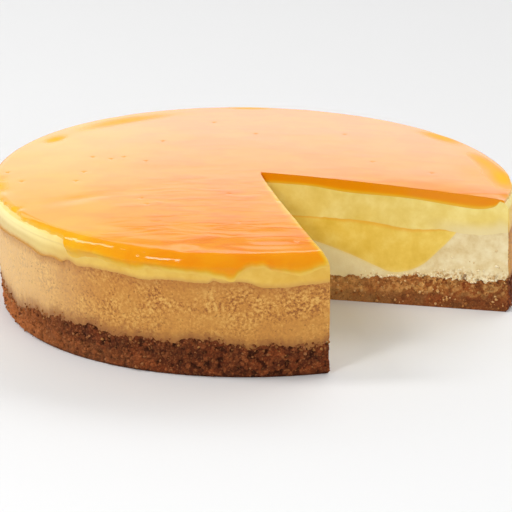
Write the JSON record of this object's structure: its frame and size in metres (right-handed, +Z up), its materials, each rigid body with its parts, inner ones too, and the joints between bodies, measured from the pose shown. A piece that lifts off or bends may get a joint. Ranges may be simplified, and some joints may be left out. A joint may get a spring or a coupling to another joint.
{
  "type": "mango cheesecake",
  "caption": "Round baked cheesecake with a crumb base, a mango curd filling, a yellow mango layer and a glossy mango glaze, with a slice cut out.",
  "frame": {"origin": "middle of the cake's outline, on the surface that it rests on", "axes": "+Z up; the cake is seen from the front along +Y with +X to the right, and the missing slice lies between +X and -Y"},
  "size_m": [0.2426, 0.241, 0.0597],
  "materials": {
    "crumb_base": "rough reddish-brown biscuit crumbs, pressed and baked",
    "baked_cheesecake": "ivory and finely pitted where cut, baked to a speckled tan on the outside",
    "mango_curd": "smooth, moist, golden yellow",
    "mango_cheesecake": "smooth, moist, pale yellow",
    "mango_glaze": "clear orange jelly with a wet gloss"
  },
  "bodies": {
    "root": {"crumb_base": "crumb_base", "baked_cheesecake": "baked_cheesecake", "mango_curd": "mango_curd", "mango_cheesecake": "mango_cheesecake", "mango_glaze": "mango_glaze"}
  },
  "joints": []
}
